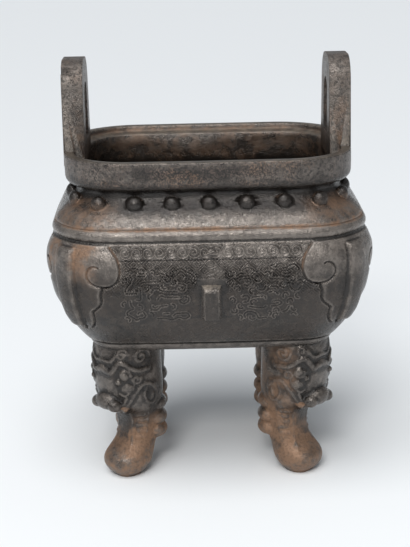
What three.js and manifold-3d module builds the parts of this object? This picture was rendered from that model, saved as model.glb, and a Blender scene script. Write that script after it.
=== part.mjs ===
// Bronze censer: a hollow rectangular vessel with rounded corners, a lion-mask leg under each
// corner and an upright loop handle at each end, all one casting. Millimetres, +Z up, feet on Z = 0,
// long side along X, front towards -Y.
import * as THREE from 'three';
import { mergeVertices } from 'three/addons/utils/BufferGeometryUtils.js';
import Module from 'manifold-3d';

const wasm = await Module();
wasm.setup();

// heights above the ground
const underside = 91.5;
const lowerGroove = 98;
const widestHeight = 152;
const bellyTop = 165.5;
const deepGroove = 167.3;
const mouldingTop = 174.7;
const bossHeight = 188;
const neckLow = 193;
const neckHigh = 195.5;
const rimLow = 200.6;
const rimTop = 214;

// half lengths along X at those heights
const undersideHalf = 73;
const lowerGrooveHalf = 76.8;
const bellyFootHalf = 78.8;
const widestHalf = 99.4;
const bellyTopHalf = 96.8;
const deepGrooveHalf = 94.7;
const mouldingHalf = 96.5;
const shoulderHalf = 94.4;
const neckHalf = 81.4;
const rimHalf = 88;

// plan shape: depth is less than length by a fixed amount, corners are arcs, sides bow out slightly
const depthLess = 20;
const bodyCornerCentre = 57;
const rimCornerCentre = 48;
const sideBow = 1.6;
const cornerSteps = 6;
const longSteps = 6;
const shortSteps = 4;

// wall and mouth
const wall = 5;
const lipWidth = 6.4;
const ledgeDrop = 3.6;
const ledgeSlope = 1.2;
const mouthHalf = 75.2;
const throatHeight = 190;
const insideTop = 172;
const edgeRound = 0.8;

// row of bosses round the neck
const bossCount = 24;
const bossRadius = 5.2;

// block in the middle of each long side, bar down each corner
const blockHalfWidth = 7;
const blockLow = 119;
const blockHigh = 144.5;
const blockSlope = 7;
const blockStand = 5.4;
const cornerBarHalfWidth = 6;
const cornerBarLow = 112.5;
const cornerBarHigh = 163;
const cornerBarStand = 3.2;
const embed = 3;

// handles
const handleOuter = 89.6;
const handleInner = 76.6;
const handleHalfWidth = 22;
const handleFootHalfWidth = 27;
const handleTop = 269;
const handleFoot = 206;
const handleRound = 15;
const slotHalfWidth = 9.5;
const slotLow = 219;
const slotHigh = 254;
const slotSpring = 240;

// legs: centre of each foot in plan, and sections from the sole up
const legX = 54.6;
const legY = 32.6;
const legTop = 97;
const legAround = 14;
const sectionSquareness = 2.4;
const facetTolerance = 0.14;

const bronze = new THREE.MeshStandardMaterial({ color: 0x4a4038, roughness: 0.62, metalness: 0.75 });

function smooth(t) {
  const c = THREE.MathUtils.clamp(t, 0, 1);
  return c * c * (3 - 2 * c);
}

function solidOf(geometry) {
  const bare = geometry.clone();
  bare.deleteAttribute('normal');
  bare.deleteAttribute('uv');
  const welded = mergeVertices(bare, 1e-4);
  const mesh = new wasm.Mesh({
    numProp: 3,
    vertProperties: Float32Array.from(welded.attributes.position.array),
    triVerts: Uint32Array.from(welded.index.array),
  });
  mesh.merge();
  return new wasm.Manifold(mesh);
}

function geometryOf(solid) {
  const mesh = solid.getMesh();
  const geometry = new THREE.BufferGeometry();
  geometry.setAttribute('position', new THREE.BufferAttribute(Float32Array.from(mesh.vertProperties), 3));
  geometry.setIndex(Array.from(mesh.triVerts));
  return mergeVertices(geometry, 1e-4);
}

// a closed skin through rings of equal point count, with a point closing each end
function skin(rings, first, last) {
  const count = rings[0].length;
  const points = [first, ...rings.flat(), last];
  const index = [];
  const at = (ring, i) => 1 + ring * count + (i % count);
  for (let i = 0; i < count; i += 1) {
    index.push(0, at(0, i + 1), at(0, i));
    for (let k = 0; k + 1 < rings.length; k += 1) {
      index.push(at(k, i), at(k, i + 1), at(k + 1, i + 1));
      index.push(at(k, i), at(k + 1, i + 1), at(k + 1, i));
    }
    index.push(points.length - 1, at(rings.length - 1, i), at(rings.length - 1, i + 1));
  }
  const geometry = new THREE.BufferGeometry().setFromPoints(points);
  geometry.setIndex(index);
  return geometry;
}

// plan outline, anticlockwise from the middle of the +X side
function planPoints(half, centre) {
  const depth = half - depthLess;
  const radius = half - centre;
  const points = [];
  const bowed = (x, y) => new THREE.Vector2(
    x + (sideBow * x / half) * (1 - (y / depth) ** 2),
    y + (sideBow * y / depth) * (1 - (x / half) ** 2),
  );
  for (let corner = 0; corner < 4; corner += 1) {
    const signX = corner === 0 || corner === 3 ? 1 : -1;
    const signY = corner < 2 ? 1 : -1;
    const steps = corner % 2 === 0 ? longSteps : shortSteps;
    for (let i = 0; i < cornerSteps; i += 1) {
      const angle = (corner + i / cornerSteps) * Math.PI / 2;
      const x = signX * centre + radius * Math.cos(angle);
      const y = signY * (depth - radius) + radius * Math.sin(angle);
      points.push(bowed(x, y));
    }
    const turn = (corner + 1) * Math.PI / 2;
    const reach = corner % 2 === 0 ? centre : depth - radius;
    for (let i = 0; i < steps; i += 1) {
      const along = reach * (1 - 2 * i / steps);
      const x = corner % 2 === 0 ? signX * along : signX * centre + radius * Math.cos(turn);
      const y = corner % 2 === 0 ? signY * (depth - radius) + radius * Math.sin(turn) : signY * along;
      points.push(bowed(x, y));
    }
  }
  return points;
}

function cornerCentreAt(z) {
  const t = smooth((z - mouldingTop) / (rimLow - mouldingTop));
  return THREE.MathUtils.lerp(bodyCornerCentre, rimCornerCentre, t);
}

function ringAt(z, half) {
  return planPoints(half, cornerCentreAt(z)).map((p) => new THREE.Vector3(p.x, p.y, z));
}

function bellyHalf(z) {
  if (z < widestHeight) {
    const t = (widestHeight - z) / (widestHeight - lowerGroove);
    return widestHalf - (widestHalf - bellyFootHalf) * t ** 2.4;
  }
  const t = (z - widestHeight) / (bellyTop - widestHeight);
  return widestHalf - (widestHalf - bellyTopHalf) * t ** 2;
}

function shoulderHalfAt(z) {
  return shoulderHalf - (shoulderHalf - neckHalf) * smooth((z - mouldingTop) / (neckLow - mouldingTop));
}

function outerHalf(z) {
  if (z <= lowerGroove) {
    const t = (z - underside) / (lowerGroove - underside);
    return undersideHalf + (lowerGrooveHalf - undersideHalf) * Math.sin(t * Math.PI / 2);
  }
  if (z <= bellyTop) {
    return bellyHalf(z);
  }
  return z < mouldingTop ? deepGrooveHalf : shoulderHalfAt(z);
}

function vesselGeometry() {
  const rings = [];
  const put = (z, half) => rings.push(ringAt(z, half));
  const bandSteps = 3;
  put(underside, undersideHalf - 2 * edgeRound);
  for (let i = 1; i <= bandSteps; i += 1) {
    const z = underside + (lowerGroove - underside) * i / (bandSteps + 1);
    put(z, outerHalf(z));
  }
  put(lowerGroove - edgeRound, lowerGrooveHalf - edgeRound / 2);
  const bellySteps = 8;
  for (let i = 0; i <= bellySteps; i += 1) {
    const z = THREE.MathUtils.lerp(lowerGroove + edgeRound, bellyTop, i / bellySteps);
    put(z, bellyHalf(z));
  }
  put(deepGroove, deepGrooveHalf);
  const mouldingSteps = 3;
  for (let i = 1; i < mouldingSteps; i += 1) {
    const t = i / mouldingSteps;
    put(THREE.MathUtils.lerp(deepGroove, mouldingTop, t), mouldingHalf - edgeRound * t);
  }
  const shoulderSteps = 4;
  for (let i = 0; i <= shoulderSteps; i += 1) {
    const z = THREE.MathUtils.lerp(mouldingTop, neckLow, i / shoulderSteps);
    put(z, shoulderHalfAt(z));
  }
  put(neckHigh, neckHalf);
  put(THREE.MathUtils.lerp(neckHigh, rimLow, 0.45), rimHalf - edgeRound * 2.5);
  put(rimLow, rimHalf);
  put(rimTop - edgeRound, rimHalf);
  put(rimTop, rimHalf - edgeRound);
  put(rimTop, rimHalf - lipWidth);
  put(rimTop - ledgeDrop, rimHalf - lipWidth - edgeRound / 2);
  put(rimTop - ledgeDrop - ledgeSlope, mouthHalf);
  put(throatHeight, mouthHalf);
  const insideSteps = 5;
  const insideFloor = underside + wall;
  for (let i = 0; i < insideSteps; i += 1) {
    const z = THREE.MathUtils.lerp(insideTop, insideFloor + wall, i / (insideSteps - 1));
    put(z, outerHalf(z) - wall);
  }
  put(insideFloor, undersideHalf - wall);
  return skin(rings, new THREE.Vector3(0, 0, underside), new THREE.Vector3(0, 0, insideFloor));
}

// evenly spaced places round the plan outline, from the middle of the front
function placesRound(half, centre, count) {
  const fine = planPoints(half, centre);
  const closed = [...fine, fine[0]];
  const lengths = [0];
  for (let i = 1; i < closed.length; i += 1) {
    lengths.push(lengths[i - 1] + closed[i].distanceTo(closed[i - 1]));
  }
  const total = lengths[lengths.length - 1];
  const places = [];
  const frontMiddle = closed.findIndex((p) => Math.abs(p.x) < 1e-6 && p.y < 0);
  for (let k = 0; k < count; k += 1) {
    const want = (lengths[frontMiddle] + total * k / count) % total;
    const i = Math.max(1, lengths.findIndex((length) => length >= want));
    const t = (want - lengths[i - 1]) / (lengths[i] - lengths[i - 1]);
    places.push(closed[i - 1].clone().lerp(closed[i], t));
  }
  return places;
}

function bossGeometries() {
  const half = shoulderHalfAt(bossHeight);
  return placesRound(half, cornerCentreAt(bossHeight), bossCount).map((p) => {
    const ball = new THREE.SphereGeometry(bossRadius, 7, 4);
    ball.rotateX(Math.PI / 2);
    ball.translate(p.x, p.y, bossHeight);
    return ball;
  });
}

function frontFace(z) {
  return bellyHalf(z) - depthLess + sideBow;
}

// the block in the middle of a long side: foot sunk into the wall, top sloping back to the wall
function blockGeometry(turn) {
  const stand = frontFace((blockLow + blockHigh) / 2) + blockStand;
  const shape = new THREE.Shape();
  shape.moveTo(frontFace(blockLow) - embed, blockLow);
  shape.lineTo(stand - edgeRound, blockLow);
  shape.lineTo(stand, blockLow + edgeRound);
  shape.lineTo(stand, blockHigh - blockSlope);
  shape.lineTo(frontFace(blockHigh), blockHigh);
  shape.lineTo(frontFace(blockHigh) - embed, blockHigh);
  const block = new THREE.ExtrudeGeometry(shape, { depth: 2 * blockHalfWidth, bevelEnabled: false });
  block.translate(0, 0, -blockHalfWidth);
  block.rotateX(Math.PI / 2);
  block.rotateZ(turn);
  return block;
}

function cornerBarGeometry(turn, signX, signY) {
  const steps = 5;
  const shape = new THREE.Shape();
  const heights = [];
  for (let i = 0; i <= steps; i += 1) {
    heights.push(THREE.MathUtils.lerp(cornerBarLow, cornerBarHigh, i / steps));
  }
  const face = (z) => bellyHalf(z) - bodyCornerCentre;
  shape.moveTo(face(cornerBarLow) - embed, cornerBarLow);
  heights.forEach((z) => shape.lineTo(face(z) + cornerBarStand, z));
  heights.reverse().forEach((z) => shape.lineTo(face(z) - embed, z));
  const bar = new THREE.ExtrudeGeometry(shape, { depth: 2 * cornerBarHalfWidth, bevelEnabled: false });
  bar.translate(0, 0, -cornerBarHalfWidth);
  bar.rotateX(Math.PI / 2);
  bar.rotateZ(turn);
  const centreY = bodyCornerCentre - depthLess;
  bar.translate(signX * bodyCornerCentre, signY * centreY, 0);
  return bar;
}

function handleGeometry(side) {
  const shape = new THREE.Shape();
  const crown = handleTop - handleRound;
  shape.moveTo(-handleFootHalfWidth, handleFoot);
  shape.lineTo(handleFootHalfWidth, handleFoot);
  shape.lineTo(handleHalfWidth, crown);
  shape.quadraticCurveTo(handleHalfWidth, handleTop, handleHalfWidth - handleRound, handleTop);
  shape.lineTo(handleRound - handleHalfWidth, handleTop);
  shape.quadraticCurveTo(-handleHalfWidth, handleTop, -handleHalfWidth, crown);
  const slot = new THREE.Path();
  slot.moveTo(-slotHalfWidth, slotLow);
  slot.lineTo(-slotHalfWidth, slotSpring);
  slot.quadraticCurveTo(-slotHalfWidth, slotHigh - 2, 0, slotHigh);
  slot.quadraticCurveTo(slotHalfWidth, slotHigh - 2, slotHalfWidth, slotSpring);
  slot.lineTo(slotHalfWidth, slotLow);
  shape.holes.push(slot);
  const thick = handleOuter - handleInner;
  const handle = new THREE.ExtrudeGeometry(shape, {
    depth: thick - 2,
    bevelThickness: 1,
    bevelSize: 1,
    bevelOffset: -1,
    bevelSegments: 1,
    curveSegments: 5,
  });
  handle.translate(0, 0, 1);
  handle.rotateX(Math.PI / 2);
  handle.rotateZ(Math.PI / 2);
  handle.translate(side > 0 ? handleInner : -handleOuter, 0, 0);
  return handle;
}

// leg sections: height, reach to the front, reach to the back, half width, all about the foot centre
const legSections = [
  [0, 11, 4, 8],
  [3, 15, 8, 12],
  [8, 18, 12, 14.6],
  [13, 17.5, 14, 15],
  [18, 12, 15.5, 14],
  [22, 7.5, 17.5, 13.2],
  [28, 5, 20, 12.8],
  [36, 4.6, 22.5, 13.2],
  [42, 6, 23, 14.2],
  [46, 10, 23, 15.6],
  [51, 16.5, 23, 17.4],
  [59, 18, 23, 18],
  [65, 18.5, 22.5, 18.4],
  [71, 20, 22, 19],
  [78, 21.6, 22, 19.4],
  [86, 21.6, 22, 19.4],
  [92, 20.4, 21.5, 19.2],
  [legTop, 18, 20, 18],
];

function legSection([z, front, back, half]) {
  const ring = [];
  const middle = (front - back) / 2;
  const reach = (front + back) / 2;
  const power = 2 / sectionSquareness;
  for (let i = 0; i < legAround; i += 1) {
    const angle = 2 * Math.PI * i / legAround;
    const c = Math.cos(angle);
    const s = Math.sin(angle);
    const u = middle + reach * Math.sign(c) * Math.abs(c) ** power;
    const v = half * Math.sign(s) * Math.abs(s) ** power;
    ring.push(new THREE.Vector3(u, v, z));
  }
  return ring;
}

function lump(u, v, z, radiusU, radiusV, radiusZ) {
  const ball = new THREE.SphereGeometry(1, 7, 4);
  ball.rotateX(Math.PI / 2);
  ball.scale(radiusU, radiusV, radiusZ);
  ball.translate(u, v, z);
  return ball;
}

function legGeometries() {
  const first = new THREE.Vector3((legSections[0][1] - legSections[0][2]) / 2, 0, 0);
  const shank = skin(legSections.map(legSection), first, new THREE.Vector3(0, 0, legTop));
  const parts = [shank];
  [-1, 1].forEach((side) => {
    parts.push(lump(19, side * 5.2, 54.5, 6.2, 6.2, 6));
    parts.push(lump(-9, side * 15.5, 46.5, 6, 8, 7));
    parts.push(lump(-10, side * 14.5, 34, 6, 8, 7));
  });
  return parts;
}

function placedLeg(signX, signY) {
  const turn = Math.atan2(signY, signX);
  const solids = legGeometries().map((geometry) => {
    geometry.rotateZ(turn);
    geometry.translate(signX * legX, signY * legY, 0);
    return solidOf(geometry);
  });
  return solids.reduce((sum, solid) => sum.add(solid));
}

let casting = solidOf(vesselGeometry());
bossGeometries().forEach((boss) => {
  casting = casting.add(solidOf(boss));
});
[-Math.PI / 2, Math.PI / 2].forEach((turn) => {
  casting = casting.add(solidOf(blockGeometry(turn)));
});
[-1, 1].forEach((signX) => {
  [-1, 1].forEach((signY) => {
    casting = casting.add(solidOf(cornerBarGeometry(Math.atan2(signY, signX), signX, signY)));
    casting = casting.add(placedLeg(signX, signY));
  });
  casting = casting.add(solidOf(handleGeometry(signX)));
});

const censer = new THREE.Mesh(geometryOf(casting.simplify(facetTolerance)), bronze);
censer.name = 'censer';

const model = new THREE.Group();
model.name = 'bronze_censer';
model.add(censer);
export default model;
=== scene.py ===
from math import atan2, cos, pi, radians, sin

import bmesh
import bpy
import numpy as np
from mathutils import Matrix, Vector


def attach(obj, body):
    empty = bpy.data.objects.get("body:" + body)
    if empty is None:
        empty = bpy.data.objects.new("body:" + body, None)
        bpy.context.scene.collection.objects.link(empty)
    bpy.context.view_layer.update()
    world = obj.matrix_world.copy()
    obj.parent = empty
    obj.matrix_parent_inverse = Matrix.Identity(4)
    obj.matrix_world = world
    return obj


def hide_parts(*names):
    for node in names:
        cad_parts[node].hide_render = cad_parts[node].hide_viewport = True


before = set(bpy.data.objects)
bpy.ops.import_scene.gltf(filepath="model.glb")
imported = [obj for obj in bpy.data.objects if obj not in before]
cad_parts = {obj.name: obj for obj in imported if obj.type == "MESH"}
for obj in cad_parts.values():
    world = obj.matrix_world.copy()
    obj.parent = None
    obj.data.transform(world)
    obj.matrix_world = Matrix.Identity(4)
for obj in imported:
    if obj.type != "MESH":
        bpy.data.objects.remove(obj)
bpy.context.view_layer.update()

mm = 0.001
scene = bpy.context.scene


# shared helpers

def smoothStep(t):
    t = np.clip(t, 0.0, 1.0)
    return t * t * (3 - 2 * t)


def makeObject(name, bm):
    mesh = bpy.data.meshes.new(name)
    bm.to_mesh(mesh)
    bm.free()
    thing = bpy.data.objects.new(name, mesh)
    scene.collection.objects.link(thing)
    return thing


def applyModifiers(thing):
    graph = bpy.context.evaluated_depsgraph_get()
    mesh = bpy.data.meshes.new_from_object(thing.evaluated_get(graph))
    old = thing.data
    thing.modifiers.clear()
    thing.data = mesh
    bpy.data.meshes.remove(old)


def points(mesh):
    co = np.empty(len(mesh.vertices) * 3)
    mesh.vertices.foreach_get("co", co)
    return co.reshape(-1, 3)


def gridSheet(xyz):
    # a quad sheet with one vertex for each row and column of the array
    rows, columns = xyz.shape[:2]
    bm = bmesh.new()
    bmesh.ops.create_grid(bm, x_segments=columns - 1, y_segments=rows - 1, size=1.0)
    for vert in bm.verts:
        column = round((vert.co.x + 1) / 2 * (columns - 1))
        row = round((vert.co.y + 1) / 2 * (rows - 1))
        vert.co = xyz[row, column]
    return bm


def addBall(bm, centre, radii, segments=12, rings=8):
    place = Matrix.Translation(centre) @ Matrix.Diagonal((*radii, 1.0))
    bmesh.ops.create_uvsphere(bm, u_segments=segments, v_segments=rings, radius=1.0, matrix=place)


def wander(x, y, z, size):
    # slow uneven swelling, the same on every run
    a = np.sin(x / size * 1.7 + np.sin(y / size * 1.3 + 1.1) * 1.4 + z / size * 0.7)
    b = np.sin(y / size * 2.1 + np.sin(z / size * 1.9 + 0.4) * 1.2 - x / size * 0.6)
    c = np.sin(z / size * 2.3 + np.sin(x / size * 1.6 + 2.3) * 1.3 + y / size * 0.9)
    return (a + b + c) / 3


# vessel

vessel = {
    "underside": 91.5, "lowerGroove": 98, "widestHeight": 152, "bellyTop": 165.5, "deepGroove": 167.3,
    "mouldingTop": 174.7, "neckLow": 193, "neckHigh": 195.5, "rimLow": 200.6, "rimTop": 214,
    "undersideHalf": 73, "lowerGrooveHalf": 76.8, "bellyFootHalf": 78.8, "widestHalf": 99.4,
    "bellyTopHalf": 96.8, "deepGrooveHalf": 95.2, "shoulderHalf": 94.4, "neckHalf": 81.4, "rimHalf": 88,
    "depthLess": 20, "bodyCentre": 57, "rimCentre": 48, "sideBow": 1.6, "mouldingRound": 2.0,
    "wall": 5, "lipWidth": 6.4, "ledgeDrop": 3.6, "ledgeSlope": 1.2, "mouthHalf": 75.2,
    "throatHeight": 190, "insideTop": 172,
    "frontStep": 0.5, "frontCornerStep": 0.62, "farStep": 1.25, "rowStep": 0.55, "plainStep": 2.4,
    "unevenness": 0.22, "triangles": 138000,
}


def planColumns(front, frontCorner, short, farCorner, back):
    # columns round the plan from the middle of the back, by way of the left end, front and right end
    runs = [
        (back // 2, (0, -1), (1, 1), (90, 90)),
        (farCorner, (-1, -1), (1, 1), (90, 180)),
        (short, (-1, -1), (1, -1), (180, 180)),
        (frontCorner, (-1, -1), (-1, -1), (180, 270)),
        (front, (-1, 1), (-1, -1), (270, 270)),
        (frontCorner, (1, 1), (-1, -1), (270, 360)),
        (short, (1, 1), (-1, 1), (360, 360)),
        (farCorner, (1, 1), (1, 1), (360, 450)),
        (back // 2, (1, 0), (1, 1), (450, 450)),
    ]
    across, along, angle = [], [], []
    for count, acrossEnds, alongEnds, angleEnds in runs:
        t = np.arange(count) / count
        across.append(acrossEnds[0] + (acrossEnds[1] - acrossEnds[0]) * t)
        along.append(alongEnds[0] + (alongEnds[1] - alongEnds[0]) * t)
        angle.append(angleEnds[0] + (angleEnds[1] - angleEnds[0]) * t)
    columns = [np.concatenate(part) for part in (across, along, angle)]
    return [np.append(part, part[0]) for part in columns]


def planPoints(half, centre, columns):
    across, along, angle = columns
    turn = np.radians(angle)
    depth = half - vessel["depthLess"]
    x = centre * across + (half - centre) * np.cos(turn)
    y = (centre - vessel["depthLess"]) * along + (half - centre) * np.sin(turn)
    bowX = vessel["sideBow"] * x / half * (1 - (y / depth) ** 2)
    bowY = vessel["sideBow"] * y / depth * (1 - (x / half) ** 2)
    return x + bowX, y + bowY


def centreAt(z):
    t = smoothStep((z - vessel["mouldingTop"]) / (vessel["rimLow"] - vessel["mouldingTop"]))
    return vessel["bodyCentre"] + (vessel["rimCentre"] - vessel["bodyCentre"]) * t


def bellyHalf(z):
    low = (vessel["widestHeight"] - z) / (vessel["widestHeight"] - vessel["lowerGroove"])
    high = (z - vessel["widestHeight"]) / (vessel["bellyTop"] - vessel["widestHeight"])
    widest = vessel["widestHalf"]
    under = widest - (widest - vessel["bellyFootHalf"]) * np.clip(low, 0, 2) ** 2.4
    over = widest - (widest - vessel["bellyTopHalf"]) * np.clip(high, 0, 2) ** 2
    return np.where(z < vessel["widestHeight"], under, over)


def shoulderAt(z):
    t = smoothStep((z - vessel["mouldingTop"]) / (vessel["neckLow"] - vessel["mouldingTop"]))
    return vessel["shoulderHalf"] - (vessel["shoulderHalf"] - vessel["neckHalf"]) * t


def ringStack(profile, columns):
    rings = []
    for z, half in profile:
        x, y = planPoints(half, centreAt(z), columns)
        rings.append(np.stack([x, y, np.full_like(x, z)], 1))
    return np.array(rings)


# cast relief: distances to drawn lines, in millimetres on the wall

# points picked on an enlarged picture of the wall, counted in its dots
cloudDrawing = {
    "enlarged": 8, "leftFrom": (40, 225), "rightFrom": (195, 215), "middle": 210.5, "dotsPerMm": 1.64,
    "groove": 242.5, "grooveLean": 0.042, "grooveMiddle": 205, "grooveMost": 244.6, "mmPerDot": 0.625,
    "left": [
        [(700, 392), (716, 366), (742, 344), (768, 342), (792, 352), (822, 354), (838, 368), (828, 386),
         (800, 384)],
        [(790, 405), (842, 405)],
        [(722, 400), (738, 430), (728, 462), (692, 500), (684, 530)],
        [(1040, 386), (1060, 366), (1090, 360), (1112, 345), (1140, 345), (1165, 365), (1195, 375),
         (1224, 400), (1236, 438), (1214, 460)],
        [(940, 392), (964, 380), (992, 392)],
        [(810, 462), (842, 454), (952, 450), (972, 436)],
        [(690, 546), (772, 546)],
        [(802, 505), (802, 600), (768, 600)],
        [(1108, 462), (1148, 468), (1162, 495), (1146, 520), (1118, 520), (1104, 500)],
        [(892, 540), (904, 515), (934, 505), (962, 520), (1000, 530), (1092, 530)],
        [(940, 600), (950, 580), (972, 566), (1002, 578), (1100, 578)],
        [(1120, 575), (1165, 572), (1185, 590), (1170, 620), (1130, 625), (1112, 600), (1140, 592)],
        [(880, 690), (930, 690), (960, 660), (1010, 650)],
        [(720, 610), (725, 650), (742, 676), (702, 700), (690, 730), (720, 750), (742, 766), (766, 786),
         (790, 770), (820, 766), (836, 740), (816, 710), (790, 714), (776, 728)],
        [(935, 770), (990, 770), (1050, 780), (1100, 755), (1130, 766), (1166, 764), (1186, 740),
         (1166, 715), (1130, 715), (1080, 722), (1060, 742)],
        [(980, 726), (1020, 722)],
        [(872, 600), (862, 570), (880, 552)],
    ],
    "right": [
        [(370, 422), (400, 405), (440, 410), (466, 430), (492, 430)],
        [(318, 472), (350, 452), (392, 452)],
        [(350, 500), (418, 490), (436, 518), (412, 546), (380, 540)],
        [(545, 442), (570, 430), (592, 450), (582, 470), (602, 490), (690, 490), (722, 500)],
        [(690, 400), (720, 396), (750, 376), (780, 370), (802, 390), (816, 410)],
        [(690, 440), (722, 446), (752, 430)],
        [(742, 540), (770, 580), (810, 576), (832, 540)],
        [(808, 502), (830, 490), (842, 504)],
        [(470, 540), (500, 580), (540, 576), (552, 550)],
        [(588, 552), (640, 550), (652, 572)],
        [(368, 642), (400, 630), (420, 650), (410, 682), (380, 690)],
        [(450, 642), (540, 636), (552, 652)],
        [(420, 725), (480, 736), (540, 736), (556, 720)],
        [(392, 832), (384, 800), (410, 775), (450, 775), (482, 800), (500, 836), (560, 826)],
        [(600, 720), (650, 715), (682, 690), (650, 668), (610, 680)],
        [(690, 772), (720, 760), (742, 720)],
        [(250, 520), (285, 505), (300, 530), (280, 560)],
        [(580, 600), (620, 592), (650, 612)],
    ],
}


def cloudLine(picked, corner):
    # millimetres along the wall from its middle, and up it from the groove under the moulding
    d = cloudDrawing
    line = []
    for column, row in picked:
        across = corner[0] + column / d["enlarged"]
        down = corner[1] + row / d["enlarged"]
        groove = min(d["groove"] - d["grooveLean"] * (across - d["grooveMiddle"]), d["grooveMost"])
        height = vessel["deepGroove"] - (down - groove) * d["mmPerDot"]
        line.append((round((across - d["middle"]) / d["dotsPerMm"], 1), round(height, 1)))
    return line


relief = {
    "lineHeight": 0.5, "lineWidth": 0.42, "lineGroove": 0.35, "lineApart": 0.78,
    "hookSeed": 7, "hookGap": 3.1, "hookTries": 700, "bandLow": 157.3, "bandGroove": 0.4,
    "lappetHeight": 1.1, "lappetDome": 0.8, "lappetGroove": 1.25, "grooveWidth": 0.56,
    "barHalf": 6.2, "barHeight": 3.4, "barLow": 112.5, "barHigh": 164,
    "voluteAlong": 23.6, "voluteHeight": 149.6, "voluteSize": 0.93, "cornerReach": 40.0,
}


def rounded(line, parts=5):
    # the drawn line with its corners eased
    line = np.array(line, float)
    if len(line) < 3:
        return line
    padded = np.vstack([2 * line[0] - line[1], line, 2 * line[-1] - line[-2]])
    out = []
    for i in range(1, len(padded) - 2):
        a, b, c, d = padded[i - 1], padded[i], padded[i + 1], padded[i + 2]
        for k in range(parts):
            t = k / parts
            out.append(0.5 * (2 * b + (c - a) * t + (2 * a - 5 * b + 4 * c - d) * t * t
                              + (3 * b - a - 3 * c + d) * t ** 3))
    out.append(line[-1])
    return np.array(out)


def lineDistance(p, z, line):
    best = np.full(p.shape, 1e6)
    for (x0, z0), (x1, z1) in zip(line[:-1], line[1:]):
        dx, dz = x1 - x0, z1 - z0
        t = np.clip(((p - x0) * dx + (z - z0) * dz) / max(dx * dx + dz * dz, 1e-9), 0, 1)
        best = np.minimum(best, np.hypot(p - x0 - t * dx, z - z0 - t * dz))
    return best


def inside(p, z, outline):
    hit = np.zeros(p.shape, bool)
    for (x0, z0), (x1, z1) in zip(outline, np.roll(outline, -1, axis=0)):
        crosses = (z0 > z) != (z1 > z)
        where = (x1 - x0) * (z - z0) / (z1 - z0 if z1 != z0 else 1e-9) + x0
        hit ^= crosses & (p < where)
    return hit


def voluteLine():
    # runs from the groove over the trunk, round the outside and curls in; along the wall, up the wall
    turns = [(80, 18.4), (62, 14.8), (40, 12.4), (10, 10.6), (-20, 10), (-43, 9.8), (-73, 9.4), (-95, 9.3),
             (-127, 9.6), (-154, 9.9), (-176, 9.8), (-200, 8.8), (-221, 6.9), (-238, 4.8)]
    size = relief["voluteSize"]
    along, up = relief["voluteAlong"], relief["voluteHeight"]
    line = [(along + size * r * cos(radians(a)), up + size * r * sin(radians(a))) for a, r in turns]
    return rounded(line, 6)


volute = voluteLine()
trunkFoot = rounded([(22.6, 139.6), (21.4, 136), (21.4, 132), (20.4, 128.8), (17.4, 126), (14.4, 123.4),
                     (14, 119), (13.2, 115.2), (11, 112.2), (8.6, 111.6), (6, 113.2), (3, 110)], 4)
lappetOutline = np.vstack([[(-1, 166.2), (24, 167)], volute[:43], trunkFoot, [(-1, 109)]])


def lappetRelief(c, z):
    edge = lineDistance(c, z, lappetOutline[1:-1])
    signed = np.where(inside(c, z, lappetOutline), -edge, edge)
    raised = relief["lappetHeight"] * smoothStep((0.45 - signed) / 1.0)
    raised += relief["lappetDome"] * smoothStep(-signed / 9.0)
    raised *= 1 - 0.5 * smoothStep((z - 157) / 8.5)
    groove = np.exp(-((signed - 0.3) / relief["grooveWidth"]) ** 2)
    curl = np.exp(-(lineDistance(c, z, volute[36:]) / relief["grooveWidth"]) ** 2)
    return raised - groove - relief["lappetGroove"] * curl, signed


def fillHooks(lines):
    # small cast hooks in the gaps between the drawn clouds
    pick = np.random.default_rng(relief["hookSeed"])
    taken = np.vstack(lines)
    hooks = []
    for _ in range(relief["hookTries"]):
        side = -1 if pick.random() < 0.5 else 1
        at = np.array([side * pick.uniform(11, 53), pick.uniform(118, 152)])
        if np.hypot(*(taken - at).T).min() < relief["hookGap"]:
            continue
        start, way = pick.uniform(0, 2 * pi), pick.choice([-1, 1])
        turn = start + way * np.linspace(0, pick.uniform(2.2, 4.4), 9)
        size = np.linspace(2.0, 1.3, 9)
        hook = at + np.stack([size * np.cos(turn), size * np.sin(turn)], 1)
        hooks.append(hook)
        taken = np.vstack([taken, hook])
    return hooks


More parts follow.
